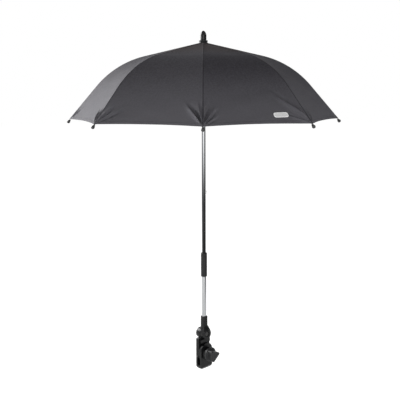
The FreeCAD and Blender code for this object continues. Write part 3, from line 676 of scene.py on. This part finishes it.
def rib_axes(number):
    """The outward and the sideways direction of a rib."""
    turn = (number - 1) * RIB_TURN
    return Vector((math.cos(turn), math.sin(turn), 0)), Vector((-math.sin(turn), math.cos(turn), 0))


def shell_faces(n_rows, n_columns):
    """Quads of a closed thin shell: outer grid, inner grid and the four walls between."""
    outer = grid_faces(n_rows, n_columns, False)
    count = n_rows * n_columns
    inner = outer[:, ::-1] + count
    index = np.arange(count).reshape(n_rows, n_columns)
    border = np.concatenate([index[0, :-1], index[:-1, -1], index[-1, :0:-1], index[:0:-1, 0]])
    ahead = np.roll(border, -1)
    walls = np.stack([ahead, border, border + count, ahead + count], axis=-1)
    return outer, inner, walls


def cloth_shell(name, number, across, share, outer, normal):
    """A closed thin shell under an outer face on one rib, with its distances from the seam and the hem."""
    inner = outer - normal * cloth_thickness
    faces = shell_faces(*outer.shape[:2])
    points = np.concatenate([outer.reshape(-1, 3), inner.reshape(-1, 3)])
    all_faces = np.concatenate(faces)[:, ::-1]
    piece = mesh_piece(name, points, all_faces, "canopy_cloth")
    mesh = piece.data
    width = gore_width(share)
    below = cloth_length * (1 - share)
    store(piece, "seam_distance", np.tile((np.abs(across) * width).ravel(), 2))
    store(piece, "hem_distance", np.tile(below.ravel(), 2))
    map_cloth(mesh, across.ravel(), width.ravel(), below.ravel())
    flat = np.concatenate([normal.reshape(-1, 3), -normal.reshape(-1, 3)])
    loops = np.empty(len(mesh.loops), dtype=np.int32)
    mesh.loops.foreach_get("vertex_index", loops)
    loop_normals = flat[loops]
    first_wall = len(faces[0]) + len(faces[1])
    loop_normals[4 * first_wall:] = wall_normals(points, all_faces[first_wall:])
    mesh.normals_split_custom_set(loop_normals.tolist())
    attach(piece, f"rib_arm_{number}")
    return piece


def make_cloth(number):
    """One panel of cloth on its rib, which meets its neighbours edge to edge."""
    share, across = panel_grid()
    turn = number - 1 + across
    outer = cloth_outer(turn, share)
    normal = normals_of(cloth_outer, turn, share)
    piece = cloth_shell(f"canopy_cloth_{number}", number, across, share, outer, normal)
    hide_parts(f"canopy_panel_{number}")
    return piece


def leaf_width(share):
    """The share of a gore at which two leaves meet when folded: half the gap between the folded ribs, less
    what the slope of the gore takes off it, over what the leaf keeps of its width."""
    radius, height, _ = canopy_line(cloth_length * share, 0)
    folded = rib_hinge_radius + (radius - rib_hinge_radius) * math.cos(rib_swing)
    folded = folded + (height - rib_hinge_height) * math.sin(rib_swing)
    slope = math.tan(HALF_GORE)
    half_gore = radius * math.sin(RIB_TURN) / 2
    kept = lining_folded_share + slope**2 * math.cos(rib_swing)
    return np.clip(folded * slope / (half_gore * kept), 0, 1)


def make_lining(number):
    """The leaf of reinforcing cloth under the crown on one rib."""
    rows_down = np.linspace(lining_start_share, lining_end_share, lining_rows + 1)
    share, side = np.meshgrid(rows_down, np.linspace(-1, 1, lining_columns + 1), indexing="ij")
    across = 0.5 * side * leaf_width(share)
    turn = number - 1 + across
    normal = normals_of(cloth_base, turn, share)
    outer = cloth_base(turn, share) - normal * (cloth_thickness + lining_gap)
    return cloth_shell(f"crown_lining_{number}", number, across, share, outer, normal)


def lining_size():
    """The flat width, length and area of one leaf."""
    share = np.linspace(lining_start_share, lining_end_share, 200)
    width = gore_width(share) * leaf_width(share)
    length = cloth_length * (lining_end_share - lining_start_share)
    return float(width.max()), length, float(width.mean() * length)


def wall_normals(points, walls):
    """One flat normal for each corner of each wall quad."""
    corner = points[walls]
    normal = np.cross(corner[:, 2] - corner[:, 0], corner[:, 3] - corner[:, 1])
    return np.repeat(unit(normal), 4, axis=0)


def map_cloth(mesh, across, width, below):
    """The surface map: metres from the middle of the gore, and metres up from the hem."""
    count = len(across)
    loops = np.empty(len(mesh.loops), dtype=np.int32)
    mesh.loops.foreach_get("vertex_index", loops)
    local = loops % count
    middle = across[local].reshape(-1, 4).mean(axis=1)
    side = np.repeat(np.where(middle < 0, -1.0, 1.0), 4)
    u = (across[local] - 0.5 * side) * width[local]
    flat = np.stack([u, below[local]], axis=-1)
    mesh.uv_layers.new(name="cloth").data.foreach_set("uv", flat.astype(np.float32).ravel())


def rounded_rectangle(width, height, corner, steps):
    """The outline of a rounded rectangle: four quarter arcs, joined by the straight sides between."""
    turn = np.linspace(0, math.pi / 2, steps)
    points = []
    for quarter in range(4):
        middle_x = (width / 2 - corner) * (1 if quarter in (0, 3) else -1)
        middle_y = (height / 2 - corner) * (1 if quarter < 2 else -1)
        angle = turn + quarter * math.pi / 2
        points.append(np.stack([middle_x + corner * np.cos(angle), middle_y + corner * np.sin(angle)], axis=-1))
    return np.concatenate(points)


def make_badge():
    """A plain raised badge on the cloth beside a rib: a rounded border round a bare, slightly sunk field."""
    outline = rounded_rectangle(badge_width, badge_height, badge_corner, steps=14)
    inset = np.concatenate([np.linspace(badge_height / 2, 0, 40), [0.0, 0.0]])
    scale_x = (badge_width / 2 - inset) / (badge_width / 2)
    scale_y = (badge_height / 2 - inset) / (badge_height / 2)
    flat_x = scale_x[:, None] * outline[:, 0]
    flat_y = scale_y[:, None] * outline[:, 1]
    x = flat_x * math.cos(badge_lean) - flat_y * math.sin(badge_lean)
    y = flat_x * math.sin(badge_lean) + flat_y * math.cos(badge_lean)
    share = 1 - (badge_above_hem + y) / cloth_length
    gore_middle = badge_rib - 1 - 0.5
    turn = gore_middle + (badge_from_middle + x) / gore_width(share)
    base = cloth_outer(turn, share)
    normal = normals_of(cloth_base, turn, share)
    border = np.sin(math.pi * np.clip(inset / badge_border, 0, 1)) * (inset < badge_border)
    lift = badge_thickness * (badge_field_share + (1 - badge_field_share) * border)
    lift = lift * smoothstep(inset, badge_edge_start, badge_edge_end)
    lift[-2:] = (0.0, -badge_root)
    points = base + normal * lift[:, None, None]
    faces = grid_faces(len(points), points.shape[1], True)
    piece = mesh_piece("canopy_badge", points, faces, "plated_steel", badge_material)
    rim = np.where(inset < badge_border, 1.0, 0.0)
    store(piece, "border_share", np.repeat(rim, points.shape[1]))
    close_up(piece, sharp_deg=60.0)
    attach(piece, f"rib_arm_{badge_rib}")
    return piece


cloths = {number: make_cloth(number) for number in range(1, RIBS + 1)}
linings = {number: make_lining(number) for number in range(1, RIBS + 1)}
badge = make_badge()
leaf_across, leaf_length, leaf_area = lining_size()
for number, cloth in cloths.items():
    outward, sideways = rib_axes(number)
    float(gore_width(1.0))
    gore_area()
    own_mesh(cloth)
    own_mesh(linings[number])
    if number == badge_rib:
        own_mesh(badge)


# Rib tips, finial and ring


def make_tip(number):
    """A turned tip cap: a short collar on the rib's end, a waist and a round nose."""
    outward, _ = rib_axes(number)
    radius, height, slope = canopy_line(cloth_length + tip_overhang, rib_depth)
    axis = outward * math.cos(slope) - Vector((0, 0, math.sin(slope)))
    base = outward * float(radius) + Vector((0, 0, float(height)))
    ball, waist_turn = 4.3 * MM, math.radians(140)
    bore, foot, side = 1.35 * MM, 2.1 * MM, 2.9 * MM
    foot_place, side_start, side_end = -6.1 * MM, -5.2 * MM, -4.4 * MM
    nose = np.linspace(waist_turn, 0, 24)
    sphere = np.stack([ball * np.sin(nose), ball * np.cos(nose)], axis=-1)
    collar = rounded(
        [(bore, foot_place), (foot, foot_place), (side, side_start), (side, side_end), tuple(sphere[0])],
        radius=0.3 * MM,
    )
    outline = np.concatenate([collar, sphere[1:]])
    piece = turned(f"tip_cap_{number}", outline, "tip_black", 40, base, axis)
    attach(piece, f"rib_arm_{number}")
    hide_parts(f"rib_tip_{number}")


def make_finial():
    """A polished bullet: a foot bead, a short straight side, an ogive and a round nose."""
    low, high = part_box("finial")
    radius = (high.x - low.x) / 2
    ogive_radius, nose_radius = 16.0 * MM, 4.4 * MM
    neck_depth = 0.5 * MM
    bead_top, neck, neck_top = low.z + 1.6 * MM, low.z + 2.0 * MM, low.z + 2.6 * MM
    inset = ogive_radius - radius
    nose_rise = math.sqrt((ogive_radius - nose_radius) ** 2 - inset**2)
    side_top = high.z - nose_radius - nose_rise
    lean = math.atan2(nose_rise, inset)
    turn = np.linspace(0, lean, 30)
    ogive = np.stack([ogive_radius * np.cos(turn) - inset, side_top + ogive_radius * np.sin(turn)], axis=-1)
    turn = np.linspace(lean, math.pi / 2, 14)
    nose = np.stack([nose_radius * np.cos(turn), side_top + nose_rise + nose_radius * np.sin(turn)], axis=-1)
    foot = rounded(
        [(0.0, low.z), (radius, low.z), (radius, bead_top), (radius - neck_depth, neck),
         (radius, neck_top), tuple(ogive[0])],
        radius=0.4 * MM,
    )
    outline = np.concatenate([foot, ogive[1:], nose[1:]])
    piece = turned("finial_knob", outline, "fitting_black", 72, material=finial_material)
    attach(piece, "shaft")
    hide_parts("finial")


def make_ring():
    """The clamping ring under the finial: a round bead on top and a skirt that presses on the cloth."""
    low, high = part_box("finial_ring")
    radius = (high.x - low.x) / 2
    inner, skirt, waist, bead_foot, bead_top = (radius - inset * MM for inset in (6, 0.3, 1.0, 0.9, 1.4))
    waist_start, waist_end, bead_start = (low.z + rise * MM for rise in (2.6, 3.2, 4.0))
    bead_end = high.z - 0.6 * MM
    outline = rounded(
        [(inner, low.z), (skirt, low.z), (waist, waist_start), (bead_foot, waist_end), (radius, bead_start),
         (radius, bead_end), (bead_top, high.z), (inner, high.z), (inner, low.z)],
        radius=0.7 * MM,
    )
    piece = turned("cloth_ring", outline, "fitting_black", 72)
    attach(piece, "shaft")
    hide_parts("finial_ring")


for number in range(1, RIBS + 1):
    make_tip(number)
make_finial()
make_ring()


# Sleeve on the pole and the clamp knob


def make_sleeve():
    """The twist sleeve: chamfered ends, a plain band at each end and shallow flutes between."""
    low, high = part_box("lock_collar")
    radius = (high.x - low.x) / 2
    chamfer, edge_radius = 1.4 * MM, 0.4 * MM
    lower_lip, upper_lip, lip_depth = 6.3 * MM, 5.3 * MM, 5 * MM
    flutes, flute_depth, flute_power = 18, 0.022, 3
    plain, fade = 9 * MM, 1 * MM
    side_rows = 60
    heights = np.linspace(low.z + chamfer, high.z - chamfer, side_rows)
    side = np.stack([np.full(side_rows, radius), heights], axis=-1)
    bottom = rounded(
        [(lower_lip, low.z + lip_depth), (lower_lip, low.z), (radius - chamfer, low.z), tuple(side[0])],
        edge_radius,
    )
    top = rounded(
        [tuple(side[-1]), (radius - chamfer, high.z), (upper_lip, high.z), (upper_lip, high.z - lip_depth)],
        edge_radius,
    )

    def wave(angle, height):
        """Shallow flutes all round, fading out towards the plain bands."""
        inside = smoothstep(height, low.z + plain - fade, low.z + plain + fade)
        inside = inside * (1 - smoothstep(height, high.z - plain - fade, high.z - plain + fade))
        return 1 - flute_depth * inside * (0.5 + 0.5 * np.cos(flutes * angle)) ** flute_power

    piece = turned("twist_sleeve", np.concatenate([bottom, side, top]), "collar_black", 144, wave=wave)
    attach(piece, "collar")
    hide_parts("lock_collar")


def lobed_radius(angle, lobe_radius, offset, turn):
    """Distance to the edge of a hull round three circles, in a direction from its middle."""
    third = FULL_TURN / 3
    from_lobe = np.mod(angle - turn + third / 2, third) - third / 2
    from_flat = np.abs(from_lobe) - third / 2
    flat_distance = offset * math.cos(third / 2) + lobe_radius
    flat_half = offset * math.sin(third / 2)
    on_flat = np.abs(from_flat) < math.atan2(flat_half, flat_distance)
    inner = np.maximum(lobe_radius**2 - (offset * np.sin(from_lobe)) ** 2, 0)
    on_lobe = offset * np.cos(from_lobe) + np.sqrt(inner)
    return np.where(on_flat, flat_distance / np.cos(from_flat), on_lobe)


def make_knob():
    """The clamp knob: a round flange, and a three-sided grip that grows out of it."""
    low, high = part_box("knob")
    screw_height, screw_bore = 28.0 * MM, 3.1 * MM
    flange_radius, flange_length = 19.0 * MM, 6.0 * MM
    lobe_radius, offset = 4.0 * MM, 13.4 * MM
    lobe_turn = math.radians(100.0)
    length = high.x - low.x
    reach = lobe_radius + offset
    edge, dish, grip_step = 1.6 * MM, 0.5 * MM, 3.0 * MM
    side_rows = 40
    flange = rounded(
        [(screw_bore, 0.0), (flange_radius, 0.0), (flange_radius, flange_length),
         (reach, flange_length), (reach, flange_length + 3 * edge)],
        radius=1.2 * MM, steps=8,
    )
    heights = np.linspace(flange_length + 0.8 * edge, length - edge, side_rows)
    side = np.stack([np.full(side_rows, reach), heights], axis=-1)
    crown = np.linspace(0, math.pi / 2, 9)
    shoulder = np.stack([reach - edge + edge * np.cos(crown), length - edge + edge * np.sin(crown)], axis=-1)
    radii = np.linspace(reach - edge, 0.0, 12)[1:]
    hollow = np.stack([radii, length - dish * (1 - (radii / (reach - edge)) ** 2)], axis=-1)
    outline = np.concatenate([flange[:-1], side, shoulder[1:], hollow])

    def wave(angle, height):
        """Round at the flange and three-sided at the end, with a soft step in between."""
        lobed = lobed_radius(angle, lobe_radius, offset, lobe_turn) / reach
        share = smoothstep(height, flange_length, flange_length + grip_step)
        return 1 - share * (1 - lobed)

    base = (low.x, 0.0, screw_height)
    piece = turned("clamp_knob", outline, "knob_black", 144, base, (1, 0, 0), wave)
    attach(piece, "knob")
    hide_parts("knob")


make_sleeve()
make_knob()

edge_widths = {
    "clamp_body": 1.0 * MM, "clamp_jaw": 1.0 * MM, "tube_socket": 0.8 * MM, "hinge_bolt": 0.3 * MM,
    "clamp_stud": 0.3 * MM, "crown": 0.3 * MM, "runner": 0.4 * MM,
}
for name, width in edge_widths.items():
    soften(name, width)


# Stage, light and camera


def from_camera(sideways, forward, height):
    """A place or direction given to the camera's right, towards the camera and up."""
    right = Vector((math.cos(camera_turn), math.sin(camera_turn), 0))
    towards = Vector((math.sin(camera_turn), -math.cos(camera_turn), 0))
    return right * sideways + towards * forward + Vector((0, 0, height))


def seen_directly(tree):
    """A socket that is 1 for the camera and in reflections, and 0 for light that falls on the object."""
    path = tree.nodes.new("ShaderNodeLightPath")
    seen = tree.nodes.new("ShaderNodeMath")
    seen.operation = "MAXIMUM"
    tree.links.new(path.outputs["Is Camera Ray"], seen.inputs[0])
    tree.links.new(path.outputs["Is Glossy Ray"], seen.inputs[1])
    return seen.outputs[0]


def stage_finish():
    """Pale floor that shows almost white to the camera and keeps a soft shadow."""
    made = Finish("pale_floor", Base_Color=grey(0.9), Roughness=0.9)
    glow_share = Value(made, seen_directly(made.tree)) * 0.7
    glow = made.node("ShaderNodeEmission", {}, {"Color": grey(1.0), "Strength": 1.4})
    floor = Value(made, made.shader.outputs[0])
    mixed = made.node("ShaderNodeMixShader", {}, {0: glow_share, 1: floor, 2: glow})
    made.feed(made.tree.nodes["Material Output"].inputs["Surface"], mixed)
    return made.material


def make_floor():
    """A large floor below the clamp."""
    floor_height = -0.22
    size = 14.0
    mesh = bpy.data.meshes.new("floor")
    corners = [(-size, -size), (size, -size), (size, size), (-size, size)]
    mesh.from_pydata([(x, y, floor_height) for x, y in corners], [], [(0, 1, 2, 3)])
    mesh.materials.append(stage_finish())
    floor = bpy.data.objects.new("floor", mesh)
    bpy.context.collection.objects.link(floor)


def make_world():
    """White surroundings: plain white to the camera and in reflections, with little light of their own."""
    world = bpy.data.worlds.new("studio")
    bpy.context.scene.world = world
    world.use_nodes = True
    tree = world.node_tree
    back = tree.nodes["Background"]
    level = tree.nodes.new("ShaderNodeMapRange")
    tree.links.new(seen_directly(tree), level.inputs["Value"])
    level.inputs["To Min"].default_value = 0.08
    level.inputs["To Max"].default_value = 1.0
    back.inputs["Color"].default_value = (1, 1, 1, 1)
    tree.links.new(level.outputs[0], back.inputs["Strength"])


def make_lamp(name, place, aim, size, power, lights=True, shines=True):
    """A square soft lamp that faces a point. It lights matt surfaces, shows in glossy ones, or both."""
    data = bpy.data.lights.new(name, "AREA")
    data.size = size
    data.energy = power
    lamp = bpy.data.objects.new(name, data)
    lamp.location = place
    lamp.rotation_mode = "QUATERNION"
    lamp.rotation_quaternion = (Vector(aim) - Vector(place)).to_track_quat("-Z", "Y")
    lamp.visible_diffuse = lights
    lamp.visible_glossy = shines
    bpy.context.collection.objects.link(lamp)


def make_flag():
    """A dark card beside the object, seen only in reflections, that gives the chrome its dark edge."""
    centre = from_camera(1.2, 0.1, 0.5)
    along = from_camera(0, 1.6, 0)
    up = Vector((0, 0, 0.7))
    corners = [centre - along - up, centre + along - up, centre + along + up, centre - along + up]
    mesh = bpy.data.meshes.new("flag")
    mesh.from_pydata([tuple(corner) for corner in corners], [], [(0, 1, 2, 3)])
    card = Finish(
        "dark_card",
        Base_Color=grey(0.01), Roughness=1.0, Specular_IOR_Level=0.0,
        Emission_Color=grey(1.0), Emission_Strength=0.28,
    )
    mesh.materials.append(card.material)
    flag = bpy.data.objects.new("flag", mesh)
    flag.visible_camera = False
    flag.visible_diffuse = False
    flag.visible_shadow = False
    bpy.context.collection.objects.link(flag)


def make_camera():
    """The camera of the photograph."""
    data = bpy.data.cameras.new("camera")
    data.sensor_width = sensor_mm
    data.lens = focal_pixels / frame_pixels * sensor_mm
    camera = bpy.data.objects.new("camera", data)
    place = from_camera(-camera_left, camera_distance, camera_height)
    look = from_camera(0, -math.cos(camera_pitch), -math.sin(camera_pitch))
    turn = look.to_track_quat("-Z", "Y").to_matrix() @ Matrix.Rotation(camera_roll, 3, "Z")
    camera.matrix_world = Matrix.Translation(place) @ turn.to_4x4()
    bpy.context.collection.objects.link(camera)
    bpy.context.scene.camera = camera


make_floor()
make_world()
aim, low_aim = (0, 0, 0.6), (0, 0, 0.1)
make_lamp("key", from_camera(0.1, 2.7, 0.25), aim, size=3.2, power=80)
make_lamp("left_rim", from_camera(-2.55, -1.1, 0.3), aim, size=3.0, power=275, shines=False)
make_lamp("hair", from_camera(-1.5, -0.7, 1.3), low_aim, size=1.3, power=80, lights=False)
make_lamp("right_fill", from_camera(2.4, 0.4, 0.7), aim, size=2.4, power=20)
make_flag()
make_camera()
bpy.context.scene.view_settings.view_transform = "Standard"
